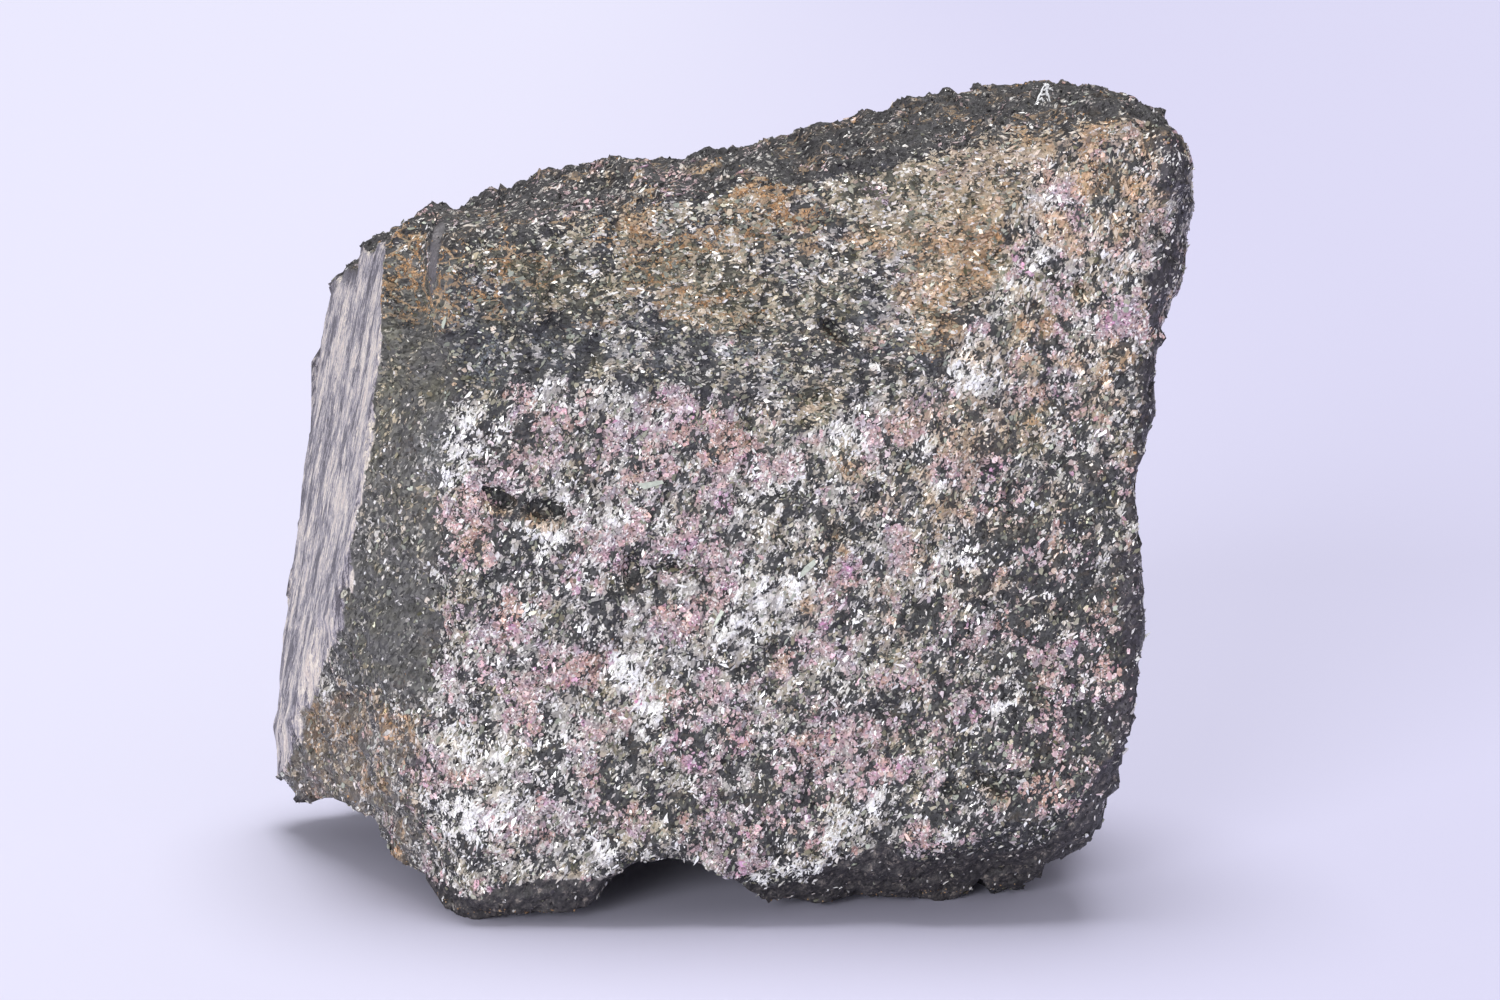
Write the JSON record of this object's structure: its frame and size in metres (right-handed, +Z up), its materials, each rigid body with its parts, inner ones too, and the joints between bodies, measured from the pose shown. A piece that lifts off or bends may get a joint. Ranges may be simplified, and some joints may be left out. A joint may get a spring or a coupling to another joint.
{
  "type": "mineral specimen of stichtite on chromite",
  "caption": "Broken lump of dark chromite rock with a pink to lilac stichtite face, a smooth cleavage on one side and small flat feet to rest on.",
  "frame": {"origin": "middle of the rock's box, on the surface that it rests on", "axes": "+Z up, +X along the rock's length, to the right of a viewer of the pink face, which looks along -Y"},
  "size_m": [0.1004, 0.057, 0.0857],
  "materials": {
    "rock": "broken, matt and grainy, with small silvery glints"
  },
  "bodies": {
    "root": {"stichtite_rock": "rock"}
  },
  "joints": []
}
